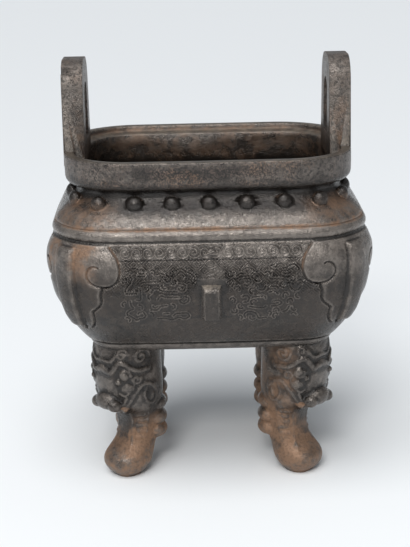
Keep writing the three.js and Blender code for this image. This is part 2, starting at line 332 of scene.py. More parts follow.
def wallRelief(columns, z):
    # height of the cast relief over the belly for every row and column
    across, along, angle = columns
    shape = np.broadcast(z[:, None], across[None, :]).shape
    height = np.zeros(shape)
    reach = relief["cornerReach"]
    quarter = np.abs((angle % 90) - 45)
    quarter = np.where(angle % 90 == 0, 45, quarter)
    onLong = angle % 180 == 90
    onShort = angle % 180 == 0
    centre = vessel["bodyCentre"]
    endCentre = centre - vessel["depthLess"]
    fromCorner = np.radians(quarter) * reach
    fromCorner = fromCorner + np.where(onLong, centre * (1 - np.abs(across)), 0)
    fromCorner = fromCorner + np.where(onShort, endCentre * (1 - np.abs(along)), 0)
    zz = np.broadcast_to(z[:, None], shape)
    cc = np.broadcast_to(fromCorner[None, :], shape)
    near = cc < 44
    lappet, signed = lappetRelief(cc[near], zz[near])
    height[near] += lappet
    outside = np.full(shape, 9.0)
    outside[near] = signed
    bar = smoothStep((relief["barHalf"] + 0.9 - cc) / 1.9)
    bar = bar * (1 - 0.2 * np.clip(cc / relief["barHalf"], 0, 1) ** 2)
    bar = bar * smoothStep((zz - relief["barLow"]) / 2.6) * smoothStep((relief["barHigh"] - zz) / 2.6)
    height += bar * (relief["barHeight"] - relief["lappetHeight"] * 0.5)
    cornerLength = np.radians(45) * reach
    sidePlace = np.where(fromCorner < cornerLength, 99.0, 0.0)
    front = (across * centre) * np.where(along < 0, 1, -1)
    end = np.where(onShort, along * endCentre * np.sign(across), 99.0)
    place = np.where(onLong, front, end) + sidePlace
    pp = np.broadcast_to(place[None, :], shape)
    short = np.broadcast_to(onShort[None, :], shape)
    lines = [rounded(cloudLine(picked, cloudDrawing["leftFrom"])) for picked in cloudDrawing["left"]]
    lines += [rounded(cloudLine(picked, cloudDrawing["rightFrom"])) for picked in cloudDrawing["right"]]
    lines += fillHooks(lines)
    sunk = np.zeros(shape)
    for line in lines:
        lowX, highX = line[:, 0].min() - 2.4, line[:, 0].max() + 2.4
        lowZ, highZ = line[:, 1].min() - 2.4, line[:, 1].max() + 2.4
        box = (pp > lowX) & (pp < highX) & (zz > lowZ) & (zz < highZ) & (outside > 1.5)
        if np.abs(line[:, 0]).max() > 31:
            box &= ~short
        if box.any():
            away = lineDistance(pp[box], zz[box], line)
            ridge = np.exp(-((away - relief["lineApart"]) / relief["lineWidth"]) ** 2)
            height[box] = np.maximum(height[box], relief["lineHeight"] * ridge)
            sunk[box] = np.maximum(sunk[box], np.exp(-(away / 0.4) ** 2))
    height -= relief["lineGroove"] * sunk
    underBand = np.exp(-((zz - relief["bandLow"]) / 0.5) ** 2)
    height -= relief["bandGroove"] * underBand * smoothStep((outside - 0.3) / 0.8)
    return height


def bellySheet():
    sizes = vessel
    front = int(2 * sizes["bodyCentre"] / sizes["frontStep"])
    arc = (sizes["widestHalf"] - sizes["bodyCentre"]) * pi / 2
    short = int(2 * (sizes["bodyCentre"] - sizes["depthLess"]) / sizes["farStep"])
    back = int(2 * sizes["bodyCentre"] / sizes["farStep"]) // 2 * 2
    nearArc, farArc = int(arc / sizes["frontCornerStep"]), int(arc / sizes["farStep"])
    columns = planColumns(front, nearArc, short, farArc, back)
    fine = np.linspace(sizes["lowerGroove"] + 0.5, sizes["bellyTop"], 400)
    run = np.append(0, np.cumsum(np.hypot(np.diff(fine), np.diff(bellyHalf(fine)))))
    steps = int(run[-1] / sizes["rowStep"])
    z = np.interp(np.linspace(0, run[-1], steps + 1), run, fine)
    profile = [(zi, float(bellyHalf(zi))) for zi in z]
    rings = ringStack(profile, columns)
    height = wallRelief(columns, z)
    lean = np.gradient(bellyHalf(z), z)
    level = 1 / np.sqrt(1 + lean ** 2)
    turn = np.radians(columns[2])
    rings[:, :, 0] += height * level[:, None] * np.cos(turn)[None, :]
    rings[:, :, 1] += height * level[:, None] * np.sin(turn)[None, :]
    rings[:, :, 2] -= height * (level * lean)[:, None]
    foot = ringStack([(sizes["lowerGroove"] - 0.3, sizes["lowerGrooveHalf"] - 0.9)], columns)
    top = ringStack([(sizes["bellyTop"] + 0.8, sizes["bellyTopHalf"] - 0.45),
                     (sizes["deepGroove"], sizes["deepGrooveHalf"])], columns)
    return np.concatenate([foot, rings, top])


def topProfile():
    # outside from the deep groove up to the lip, then down the inside to the floor
    s = vessel
    rows = []
    for t in np.linspace(0, 1, 11)[1:]:
        z = s["deepGroove"] + 0.15 + (s["mouldingTop"] - s["deepGroove"]) * t
        half = s["deepGrooveHalf"] + (s["shoulderHalf"] - s["deepGrooveHalf"]) * t
        rows.append((z, half + s["mouldingRound"] * sin(pi * min(t * 1.04, 1)) ** 0.7))
    rows[-1] = (s["mouldingTop"], s["shoulderHalf"] - 0.5)
    rows.append((s["mouldingTop"] + 0.6, s["shoulderHalf"] + 0.25))
    for t in np.linspace(0.07, 1, 15):
        z = s["mouldingTop"] + (s["neckLow"] - s["mouldingTop"]) * t
        rows.append((z, float(shoulderAt(z)) + 0.25 * (1 - t)))
    rows.append((s["neckHigh"], s["neckHalf"] + 0.1))
    for t in np.linspace(0.2, 1, 5):
        rows.append((s["neckHigh"] + (s["rimLow"] - s["neckHigh"] - 0.6) * (1 - cos(t * pi / 2)) + 0.4 * t,
                     s["neckHalf"] + (s["rimHalf"] - s["neckHalf"]) * sin(t * pi / 2)))
    for t in np.linspace(0.12, 1, 7):
        z = s["rimLow"] + (s["rimTop"] - 0.9 - s["rimLow"]) * t
        rows.append((z, s["rimHalf"] + 0.15 * sin(pi * t)))
    for t in (0.4, 0.75, 1):
        rows.append((s["rimTop"] - 0.9 * (1 - sin(t * pi / 2)), s["rimHalf"] - 1.1 * (1 - cos(t * pi / 2))))
    rows.append((s["rimTop"] + 0.1, s["rimHalf"] - s["lipWidth"] * 0.5))
    inner = s["rimHalf"] - s["lipWidth"]
    rows += [(s["rimTop"], inner + 0.7), (s["rimTop"] - 0.6, inner)]
    rows += [(s["rimTop"] - s["ledgeDrop"] * 0.7, inner - 0.2), (s["rimTop"] - s["ledgeDrop"], inner - 1.0)]
    rows += [(s["rimTop"] - s["ledgeDrop"] - s["ledgeSlope"] * 0.6, s["mouthHalf"] + 2.5)]
    rows += [(s["rimTop"] - s["ledgeDrop"] - s["ledgeSlope"], s["mouthHalf"] + 0.7)]
    rows += [(s["rimTop"] - s["ledgeDrop"] - s["ledgeSlope"] - 0.9, s["mouthHalf"])]
    rows += [(z, s["mouthHalf"]) for z in np.linspace(206, s["throatHeight"], 5)]
    for z in np.linspace(s["insideTop"], s["underside"] + 2 * s["wall"], 10):
        half = s["deepGrooveHalf"] if z > s["bellyTop"] else float(bellyHalf(z))
        rows.append((z, half - s["wall"]))
    floor = s["underside"] + s["wall"]
    rows += [(floor + 1, s["undersideHalf"] - s["wall"] + 3), (floor, s["undersideHalf"] - s["wall"] - 2)]
    return rows


def footProfile():
    s = vessel
    rows = []
    for t in np.linspace(0, 1, 7):
        z = s["lowerGroove"] - 0.9 - (s["lowerGroove"] - s["underside"] - 1.4) * t
        spread = (s["lowerGrooveHalf"] - s["undersideHalf"]) * cos(t * pi / 2) ** 0.8
        rows.append((z, s["undersideHalf"] + spread))
    rows += [(s["underside"] + 0.1, s["undersideHalf"] - 0.5), (s["underside"], s["undersideHalf"] - 1.6)]
    return rows


def boundaryLoops(bm):
    edges = {edge for edge in bm.edges if edge.is_boundary}
    loops = []
    while edges:
        stack = [edges.pop()]
        loop = []
        while stack:
            edge = stack.pop()
            loop.append(edge)
            for vert in edge.verts:
                for other in vert.link_edges:
                    if other in edges:
                        edges.remove(other)
                        stack.append(other)
        loops.append(loop)
    return sorted(loops, key=lambda loop: sum(e.verts[0].co.z for e in loop) / len(loop))


def makeVessel():
    plain = vessel["plainStep"]
    coarse = planColumns(int(120 / plain), int(54 / plain), int(76 / plain), int(50 / plain),
                         int(120 / plain) // 2 * 2)
    sheets = [bellySheet(), ringStack(topProfile(), coarse), ringStack(footProfile(), coarse)]
    whole = bmesh.new()
    for xyz in sheets:
        x, y, z = xyz[..., 0].copy(), xyz[..., 1].copy(), xyz[..., 2]
        swell = wander(x, y, z, 34) * vessel["unevenness"]
        xyz[..., 0] += swell * x / 100
        xyz[..., 1] += swell * y / 70
        sheet = gridSheet(xyz)
        bmesh.ops.remove_doubles(sheet, verts=sheet.verts, dist=1e-4)
        gather(whole, sheet)
    loops = boundaryLoops(whole)
    under, floor, footTop, bellyLow, bellyTop, topLow = sortLoops(loops)
    bmesh.ops.bridge_loops(whole, edges=footTop + bellyLow)
    bmesh.ops.bridge_loops(whole, edges=bellyTop + topLow)
    for loop in (under, floor):
        bmesh.ops.contextual_create(whole, geom=loop)
    bmesh.ops.recalc_face_normals(whole, faces=whole.faces)
    bmesh.ops.triangulate(whole, faces=[f for f in whole.faces if len(f.verts) > 4])
    return makeObject("vessel", whole)


def sortLoops(loops):
    # by height: underside, inside floor, foot top, belly bottom, belly top, moulding bottom
    def mean(loop):
        return sum(edge.verts[0].co.z for edge in loop) / len(loop)

    def count(loop):
        return len(loop)
    low = sorted((loop for loop in loops if mean(loop) < 120), key=mean)
    high = sorted((loop for loop in loops if mean(loop) >= 120), key=count)
    floorAt = vessel["underside"] + vessel["wall"]
    floor = min(low, key=lambda loop: abs(mean(loop) - floorAt) + abs(
        max(abs(e.verts[0].co.x) for e in loop) - vessel["undersideHalf"] + vessel["wall"] + 2))
    rest = [loop for loop in low if loop is not floor]
    under = rest[0]
    pair = sorted(rest[1:], key=count)
    return under, floor, pair[0], pair[1], high[1], high[0]


# bosses round the neck

boss = {"count": 24, "height": 188, "radius": 5.2, "flatten": 0.86}


def makeBosses():
    half = float(shoulderAt(np.array(boss["height"])))
    columns = planColumns(240, 100, 150, 100, 240)
    x, y = planPoints(half, float(centreAt(boss["height"])), columns)
    run = np.append(0, np.cumsum(np.hypot(np.diff(x), np.diff(y))))
    front = int(np.argmin(np.abs(x) + (y > 0) * 999))
    bm = bmesh.new()
    for k in range(boss["count"]):
        at = (run[front] + run[-1] * k / boss["count"]) % run[-1]
        px, py = np.interp(at, run, x), np.interp(at, run, y)
        turn = np.interp(at, run, np.unwrap(np.radians(columns[2][:-1]).tolist() + [radians(450)]))
        size = boss["radius"] * (1 + 0.05 * sin(k * 2.7))
        place = (Matrix.Translation((px, py, boss["height"] + 0.3 * sin(k * 4.1)))
                 @ Matrix.Rotation(turn, 4, "Z") @ Matrix.Diagonal((boss["flatten"], 1, 1, 1)))
        bmesh.ops.create_uvsphere(bm, u_segments=18, v_segments=12, radius=size, matrix=place)
    return makeObject("bosses", bm)


# block in the middle of each long side

block = {"halfWidth": 8.4, "faceHalf": 4.4, "low": 118.5, "high": 144.5, "slope": 7, "stand": 5.2,
         "sunk": 2.5, "standFrom": 130, "lowSlope": 1.4, "edge": 0.8}


def makeBlocks():
    bm = bmesh.new()
    bulge = float(bellyHalf(np.array(block["standFrom"])))
    wallAt = bulge - vessel["depthLess"] + vessel["sideBow"]
    for side in (-1, 1):
        made = bmesh.ops.create_cube(bm, size=2.0)
        for vert in made["verts"]:
            out = vert.co.y * side > 0
            top = vert.co.z > 0
            width = block["faceHalf"] if out else block["halfWidth"]
            height = block["high"] if top else block["low"]
            reach = float(bellyHalf(np.array(height))) - bulge - block["sunk"]   # the back follows the wall
            if out:
                height += -block["slope"] if top else block["lowSlope"]
                reach = block["stand"]
            vert.co = (vert.co.x * width, side * (wallAt + reach), height)
        faces = {face for vert in made["verts"] for face in vert.link_faces}
        edges = {edge for face in faces for edge in face.edges}
        bmesh.ops.bevel(bm, geom=list(edges), affect="EDGES", offset=block["edge"], segments=2, profile=0.5,
                        material=-1)
    bmesh.ops.recalc_face_normals(bm, faces=bm.faces)
    return makeObject("blocks", bm)


# handles

handle = {"outer": 89.8, "inner": 76.4, "half": 21.5, "footHalf": 27, "top": 269, "foot": 205, "round": 15,
          "slotHalf": 9.5, "slotLow": 219, "slotHigh": 254, "edge": 1.9, "chip": (-90.2, -18.5, 263.5),
          "chipSize": 2.6}


def plate(name, footHalf, halfWidth, low, high, rounding, inner, outer, segments):
    bm = bmesh.new()
    bmesh.ops.create_cube(bm, size=2.0)
    for vert in bm.verts:
        wide = footHalf if vert.co.z < 0 else halfWidth
        vert.co = (inner if vert.co.x < 0 else outer, vert.co.y * wide, low if vert.co.z < 0 else high)
    upper = [edge for edge in bm.edges if all(vert.co.z == high for vert in edge.verts)]
    tops = [edge for edge in upper if edge.verts[0].co.y == edge.verts[1].co.y]
    bmesh.ops.bevel(bm, geom=tops, affect="EDGES", offset=rounding, segments=segments, profile=0.5,
                    material=-1)
    return makeObject(name, bm)


def makeHandle(side):
    h = handle
    body = plate("handle", h["footHalf"], h["half"], h["foot"], h["top"], h["round"],
                 h["inner"], h["outer"], 12)
    slot = plate("slot", h["slotHalf"], h["slotHalf"], h["slotLow"], h["slotHigh"], h["slotHalf"] * 0.98,
                 60, 110, 8)
    cut = body.modifiers.new("slot", "BOOLEAN")
    cut.operation = "DIFFERENCE"
    cut.solver = "EXACT"
    cut.object = slot
    soften = body.modifiers.new("edges", "BEVEL")
    soften.width = h["edge"]
    soften.segments = 3
    soften.limit_method = "ANGLE"
    soften.angle_limit = radians(40)
    applyModifiers(body)
    bpy.data.objects.remove(slot)
    if side < 0:
        body.data.transform(Matrix.Rotation(pi, 4, "Z"))
        bm = bmesh.new()
        addBall(bm, h["chip"], (h["chipSize"] * 0.7, h["chipSize"], h["chipSize"] * 1.3), 9, 6)
        chip = makeObject("chip", bm)
        nick = body.modifiers.new("chip", "BOOLEAN")
        nick.operation = "DIFFERENCE"
        nick.solver = "EXACT"
        nick.object = chip
        applyModifiers(body)
        bpy.data.objects.remove(chip)
    return body


# legs: a lion mask over a bent shank and a turned-out hoof; all about the foot centre, facing +X

leg = {
    "x": 54.6, "y": 32.6, "backTurn": 9, "backInset": 2.5, "backPlan": 0.93, "voxel": 0.68, "square": 2.4,
    "fineTriangles": 19000, "plainTriangles": 6500,
    # height, reach to the front, reach to the back, half width
    "sections": [
        (0, 11, 4, 8), (3, 15, 8, 12), (8, 18, 12, 14.6), (13, 17.5, 14, 15), (18, 12, 15.5, 14),
        (22, 7.5, 17.5, 13.2), (28, 5, 20, 12.8), (36, 4.6, 22.5, 13.2), (42, 6, 23, 14.2),
        (46, 10, 23, 15.6), (51, 16.5, 23, 17.4), (59, 20, 23, 19), (65, 21, 22.5, 19.6),
        (71, 21.5, 22, 19.8), (78, 21.6, 22, 19.4), (86, 21.6, 22, 19.4), (92, 20.4, 21.5, 19.2),
        (97, 18, 20, 18)],
    "brow": [(0, 78), (9, 77), (17, 76.4), (26, 80), (35, 83), (46, 82), (58, 79), (72, 77), (90, 76.6)],
    "upperBrow": [(0, 84), (10, 83.4), (20, 84.4), (27, 87.5)],
    "jaw": [(20, 46.6), (30, 48.8), (42, 53), (52, 57), (66, 62.4), (78, 66.4), (90, 66), (100, 61)],
    "lip": [(0, 49.6), (14, 50), (26, 51.6), (36, 54.5), (44, 58.6)],
    "cheek": [(33, 62), (42, 60.6), (54, 63.5), (62, 68), (58, 72)],
    "ridge": [(30, 44), (27, 38), (26, 32), (28, 26), (34, 20), (44, 15)],
    "heel": [(78, 44), (74, 36), (74, 28), (78, 20), (86, 12)],
    "lobes": [(46.5, 128), (36.5, 130), (27.5, 133)],
}


def sectionAt(z):
    table = np.array(leg["sections"], float)
    heights = (z, z, np.clip(z - 1.4, 0, 97), np.clip(z + 1.4, 0, 97))
    rows = [[np.interp(h, table[:, 0], table[:, k]) for k in (1, 2, 3)] for h in heights]
    return np.mean(rows, axis=0)


def onLeg(angle, z, out=0.0):
    front, back, half = sectionAt(z)
    power = 2 / leg["square"]
    turn = radians(angle)
    c, s = cos(turn), sin(turn)
    u = (front - back) / 2 + (front + back) / 2 * np.sign(c) * abs(c) ** power
    v = half * np.sign(s) * abs(s) ** power
    return Vector((u + out * c, v + out * s, z))


def gather(target, part):
    mesh = bpy.data.meshes.new("part")
    part.to_mesh(mesh)
    part.free()
    target.from_mesh(mesh)
    bpy.data.meshes.remove(mesh)


def addRope(bm, path, radius, out=0.0, taper=0.0):
    # a rounded ridge following places on the leg, given as angle round it and height
    path = rounded(path, 6)
    rope = bmesh.new()
    last = None
    for i, (angle, z) in enumerate(path):
        at = onLeg(angle, z, out)
        size = radius * (1 - taper * i / (len(path) - 1))
        if last is None or (at - last).length > size * 0.5:
            addBall(rope, at, (size, size, size), 8, 6)
            last = at
    gather(bm, rope)


def addCurl(bm, angle, z, size, thick, turns, way, out=0.0):
    # a flat spiral lying on the leg
    front, back, half = sectionAt(z)
    girth = radians(1) * (front + back + 2 * half) / 4
    path = []
    for i in range(26):
        t = i / 25
        a = way * t * turns * 2 * pi
        r = size * (1 - 0.84 * t)
        path.append((angle + r * cos(a) / girth, z + r * sin(a)))
    addRope(bm, path, thick, out)


def makeLeg():
    bm = bmesh.new()
    around = 56
    rings = [[onLeg(360 * i / around, z) for i in range(around + 1)] for z in np.linspace(0, 97, 60)]
    shank = gridSheet(np.array(rings))
    bmesh.ops.remove_doubles(shank, verts=shank.verts, dist=1e-4)
    for loop in boundaryLoops(shank):
        bmesh.ops.contextual_create(shank, geom=loop)
    bmesh.ops.recalc_face_normals(shank, faces=shank.faces)
    gather(bm, shank)
    lumps = bmesh.new()
    addBall(lumps, (18.4, 0, 55.2), (6.8, 9.4, 6.2), 20, 12)        # nose
    addBall(lumps, (14, 0, 66), (6, 4, 7), 14, 10)                 # bridge of the nose
    addBall(lumps, (7, 0, 46.5), (6, 7.4, 3), 16, 10)              # chin
    addBall(lumps, (15, 0, 86), (7, 8.4, 6.5), 16, 10)             # forehead
    for side in (-1, 1):
        addBall(lumps, (19.2, 7.6 * side, 53.4), (5, 4.4, 4.2), 16, 10)          # nostril wing
        addBall(lumps, onLeg(46 * side, 74.4, -0.2), (2.5, 2.5, 2.5))          # eye
        addBall(lumps, onLeg(31 * side, 70, 0.2), (1.9, 1.9, 1.9))             # corner of the eye
        addBall(lumps, onLeg(50 * side, 66, -4.4), (6, 6, 5), 14, 10)          # cheek
        addBall(lumps, onLeg(31 * side, 49.8, 0.6), (2.2, 2.8, 1.9), 12, 8)    # tooth
        addBall(lumps, onLeg(94 * side, 58.5, -0.9), (1.7, 1.7, 4.4), 12, 8)   # inside of the ear
        for height, turn in leg["lobes"]:
            lobe = (Matrix.Translation((-9, 0, height)) @ Matrix.Rotation(radians(turn * side), 4, "Z")
                    @ Matrix.Translation((10.4, 0, 0)) @ Matrix.Diagonal((8, 9, 6.2, 1)))
            bmesh.ops.create_uvsphere(lumps, u_segments=16, v_segments=12, radius=1.0, matrix=lobe)
        for row in range(5):
            for k in range(3):
                angle = 42 + 12 * k + 6 * (row % 2)
                addBall(lumps, onLeg(angle * side, 43 - 4 * row, -0.6), (1.5, 1.5, 1.6), 8, 6)   # scales
    gather(bm, lumps)
    for side in (-1, 1):
        addRope(bm, [(a * side, z) for a, z in leg["brow"]], 2.6, -0.5, 0.3)
        addRope(bm, [(a * side, z) for a, z in leg["upperBrow"]], 1.5, -0.2, 0.3)
        addRope(bm, [(a * side, z) for a, z in leg["jaw"]], 1.9, -0.5, 0.3)
        addRope(bm, [(a * side, z) for a, z in leg["lip"]], 1.6, 0.2, 0.2)
        addRope(bm, [(a * side, z) for a, z in leg["cheek"]], 1.1, -0.2, 0.3)
        addRope(bm, [(a * side, z) for a, z in leg["ridge"]], 1.3, -0.6, 0.3)
        addRope(bm, [(a * side, z) for a, z in leg["heel"]], 1.2, -0.6, 0.3)
        addCurl(bm, 40 * side, 88.2, 4.2, 1.0, 1.4, side, -0.2)
        addCurl(bm, 78 * side, 86, 5.0, 1.1, 1.4, side, -0.2)
        addCurl(bm, 46 * side, 74.4, 4.0, 1.1, 1.3, side, 0.3)
        addCurl(bm, 68 * side, 71.5, 3.2, 0.9, 1.2, -side, -0.2)
        addRope(bm, [(86 * side, 65), (81 * side, 59), (86 * side, 53), (95 * side, 51.5), (103 * side, 56),
                     (101 * side, 63), (91 * side, 65.5)], 1.15, -0.4)   # ear
    thing = makeObject("leg", bm)
    remesh = thing.modifiers.new("blend", "REMESH")
    remesh.mode = "VOXEL"
    remesh.voxel_size = leg["voxel"]
    ease = thing.modifiers.new("ease", "SMOOTH")
    ease.factor = 0.5
    ease.iterations = 2
    applyModifiers(thing)
    co = points(thing.data)
    co[:, 2] = np.where(co[:, 2] < 0.7, 0.0, co[:, 2])
    thing.data.vertices.foreach_set("co", co.ravel())
    print("leg", len(thing.data.polygons), "faces")
    return thing


def thinned(thing, triangles):
    count = sum(len(face.vertices) - 2 for face in thing.data.polygons)
    thin = thing.modifiers.new("thin", "DECIMATE")
    thin.ratio = min(1.0, triangles / count)
    applyModifiers(thing)
    return thing


def placeLeg(source, signX, signY):
    thing = source.copy()
    thing.data = source.data.copy()
    scene.collection.objects.link(thing)
    across = leg["x"]
    turn = Matrix.Rotation(atan2(signY, signX), 4, "Z")
    if signY > 0:
        across -= leg["backInset"]
        turn = turn @ Matrix.Rotation(radians(leg["backTurn"]) * signX, 4, "Z")
        turn = turn @ Matrix.Diagonal((leg["backPlan"], leg["backPlan"], 1, 1))
    thing.data.transform(Matrix.Translation((signX * across, signY * leg["y"], 0)) @ turn)
    return thing


def unite(body, parts):
    for part in parts:
        join = body.modifiers.new("join", "BOOLEAN")
        join.operation = "UNION"
        join.solver = "MANIFOLD"
        join.object = part
    applyModifiers(body)
    for part in parts:
        bpy.data.objects.remove(part)


# marks on the finished surface that the bronze reads: dust, rubbed places and painted highlight on ridges,
# soot, patterned ground, painted shade in recesses, on the neck and the block fronts, and painted light on
# the block tops

def neighbourMean(values, pairs, count):
    total = np.zeros_like(values)
    for k in range(values.shape[1]):
        total[:, k] = (np.bincount(pairs[:, 0], values[pairs[:, 1], k], len(values))
                       + np.bincount(pairs[:, 1], values[pairs[:, 0], k], len(values)))
    return total / count[:, None]


def hollowness(co, normal, pairs, rounds):
    # above zero in recesses, below zero on ridges, in millimetres
    count = np.bincount(pairs.ravel(), minlength=len(co)).clip(1)
    eased = co
    for _ in range(rounds):
        eased = (eased + 2 * neighbourMean(eased, pairs, count)) / 3
    return ((eased - co) * normal).sum(1)


def band(value, low, high, soft):
    return smoothStep((value - low) / soft + 0.5) * smoothStep((high - value) / soft + 0.5)


def wallPlace(co):
    # arc distance from the corner line, and how far out from the middle, for points on the wall
    ax, ay = np.abs(co[:, 0]), np.abs(co[:, 1])
    centre = vessel["bodyCentre"]
    endCentre = centre - vessel["depthLess"]
    reach = relief["cornerReach"]
    longSide = (ax < centre) & (ay > endCentre)
    shortSide = (ay <= endCentre) & (ax >= centre)
    turn = np.arctan2(ay - endCentre, ax - centre)
    away = reach * np.abs(turn - pi / 4)
    away = np.where(longSide, reach * pi / 4 + centre - ax, away)
    away = np.where(shortSide, reach * pi / 4 + endCentre - ay, away)
    out = np.hypot(ax - centre, ay - endCentre) + centre
    out = np.where(longSide, ay + vessel["depthLess"], out)
    out = np.where(shortSide, ax, out)
    return away, out, longSide


def markSurface(mesh):
    co = points(mesh)
    normal = np.empty(len(co) * 3)
    mesh.vertex_normals.foreach_get("vector", normal)
    normal = normal.reshape(-1, 3)
    pairs = np.empty(len(mesh.edges) * 2, int)
    mesh.edges.foreach_get("vertices", pairs)
    pairs = pairs.reshape(-1, 2)
    x, y, z = co.T
    s = vessel
    away, out, longSide = wallPlace(co)
    outer = smoothStep((out - np.where(z < s["bellyTop"], bellyHalf(z), s["deepGrooveHalf"]) + 4) / 2)
    inward = (normal[:, 0] * x + normal[:, 1] * y) < 0
    legPart = smoothStep((s["underside"] + 1 - z) / 3)
    signed = np.full(len(co), 9.0)
    onBelly = (z > s["lowerGroove"]) & (z < s["bellyTop"] + 0.5) & (outer > 0.5)
    near = onBelly & (away < 44)
    signed[near] = lappetRelief(away[near], z[near])[1]
    fret = onBelly * smoothStep((signed - 0.9) / 0.8)
    blocked = (np.abs(x) < block["halfWidth"] + 0.4) & longSide
    blocked &= (z > block["low"]) & (z < block["high"] + 1)
    fret = fret * np.where(blocked, 0, 1)
    small = hollowness(co, normal, pairs, 3)
    wide = hollowness(co, normal, pairs, 14)
    # the shader paints shade into recesses and highlight on ridges from this; stronger on the legs
    recess = np.clip((small * 5 + wide * 1.6) * (1 + 0.7 * legPart), -1, 1)
    left = smoothStep(-x / 40 + 0.5)
    lappet = onBelly * smoothStep((0.5 - signed) / 1.0)
    ochre = 0.95 * band(z, 174.0, 176.2, 1.2) * (outer > 0) * ~inward
    ochre += 0.6 * smoothStep((52 - away) / 46) * band(z, 175, 190, 8) * ~inward
    ochre += lappet * smoothStep((z - 132) / 28) * (0.15 + 0.6 * left) * band(away, 4, 21, 9)
    ochre += 0.45 * onBelly * np.exp(-((signed - 0.4) / 1.2) ** 2) * smoothStep((z - 140) / 15)
    inner = smoothStep((leg["x"] - np.abs(x)) / 14 + 0.4)
    ochre += legPart * (0.8 * smoothStep((44 - z) / 22) + 0.4 * inner * smoothStep((60 - z) / 30))
    ochre += legPart * 0.5 * (x > 0) * inner
    for signX in (-1, 1):
        for side in (-1, 1):
            tooth = Matrix.Rotation(atan2(-1, signX), 3, "Z") @ onLeg(31 * side, 49.8, 1.6)
            tooth += Vector((signX * leg["x"], -leg["y"], 0))
            ochre += 1.2 * smoothStep((4.2 - np.linalg.norm(co - np.array(tooth), axis=1)) / 1.8)
    mouth = inward & (z > s["throatHeight"]) & (z < s["rimTop"] - 0.3) & (np.abs(x) < s["rimHalf"] - 4)
    ochre += 0.4 * mouth + 0.22 * (z > s["rimTop"] + 0.5)
    pale = 0.75 * smoothStep((normal[:, 2] - 0.5) / 0.4) * band(z, 209, 216, 1.5)
    # painted light: the upward-facing top of each block made pale; the pale on the lip top above is dust
    blockTop = smoothStep((z - block["high"] + block["slope"] - 0.5) / 1.5)
    pale += 0.8 * blocked * blockTop * (normal[:, 2] > 0.2)
    speckle = band(z, 175.6, 183.5, 4) * ~inward * smoothStep((away - 18) / 30)
    rim = band(z, s["rimLow"] - 1.5, s["rimTop"] - 0.5, 1.5) * ~inward + 0.8 * (z > s["rimTop"] + 0.5)
    # soot and painted shade: the neck under the rim and round the bosses darkened, partly darker metal and
    # partly painted shade; the inside below the ledge darkened too
    sootAndShade = 0.95 * band(z, 183.5, 201, 5) * ~inward
    within = inward * (z < s["rimTop"] - s["ledgeDrop"] - 1.5) * (z > s["underside"] + 2)
    sootAndShade = np.maximum(sootAndShade, 0.6 * within)
    # painted shade: the front face of each block made dark
    face = blocked & (np.abs(x) < block["faceHalf"] - 0.4) & (z < block["high"] - block["slope"] - 0.5)
    sootAndShade = np.maximum(sootAndShade, 0.8 * face)
    marks = {"ochre": ochre, "pale": pale, "speckle": speckle, "rim": rim, "sootAndShade": sootAndShade, "fret": fret,
             "recess": recess, "along": away * 0.01}
    for name, value in marks.items():
        mark = mesh.attributes.new(name, "FLOAT", "POINT")
        mark.data.foreach_set("value", np.clip(value, -1, 1).astype(np.float32))


def makeCenser():
    body = makeVessel()
    print("vessel", len(body.data.polygons), "faces")
    thinned(body, vessel["triangles"])
    parts = [makeBosses(), makeBlocks(), makeHandle(1), makeHandle(-1)]
    fine = makeLeg()
    plainer = fine.copy()
    plainer.data = fine.data.copy()
    scene.collection.objects.link(plainer)
    thinned(fine, leg["fineTriangles"])
    thinned(plainer, leg["plainTriangles"])
    for signX in (-1, 1):
        parts.append(placeLeg(fine, signX, -1))
        parts.append(placeLeg(plainer, signX, 1))
    for source in (fine, plainer):
        bpy.data.objects.remove(source)
    unite(body, parts)
    print("united", len(body.data.polygons), "faces")
    markSurface(body.data)
    body.data.transform(Matrix.Scale(mm, 4))
    body.name = "censer"
    body.data.name = "censer"
    body.data.shade_smooth()
    count = sum(len(face.vertices) - 2 for face in body.data.polygons)
    print("censer", count, "triangles")
    return body


censer = makeCenser()
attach(censer, "root")
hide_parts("censer")


# bronze

class Wire:
    # one shader socket with arithmetic
    def __init__(self, tree, socket=None):
        self.tree = tree
        self.socket = socket

    def node(self, kind, settings, links, out=0):
        made = self.tree.nodes.new(kind)
        for name, value in settings.items():
            setattr(made, name, value)
        for key, value in links.items():
            if isinstance(value, Wire):
                self.tree.links.new(value.socket, made.inputs[key])
            else:
                made.inputs[key].default_value = value
        return Wire(self.tree, made.outputs[out])

    def math(self, operation, first, second=0.0):
        return self.node("ShaderNodeMath", {"operation": operation}, {0: first, 1: second})

    def __add__(self, other):
        return self.math("ADD", self, other)

    def __radd__(self, other):
        return self.math("ADD", other, self)

    def __sub__(self, other):
        return self.math("SUBTRACT", self, other)

    def __rsub__(self, other):
        return self.math("SUBTRACT", other, self)

    def __mul__(self, other):
        return self.math("MULTIPLY", self, other)

    def __rmul__(self, other):
        return self.math("MULTIPLY", other, self)

    def __truediv__(self, other):
        return self.math("DIVIDE", self, other)

    def __rtruediv__(self, other):
        return self.math("DIVIDE", other, self)

    def ramp(self, low, high):
        return self.node("ShaderNodeMapRange", {"interpolation_type": "SMOOTHSTEP"},
                         {"Value": self, "From Min": low, "From Max": high})

    def mix(self, first, second):
        return self.node("ShaderNodeMix", {"data_type": "RGBA"}, {0: self, 6: first, 7: second}, 2)


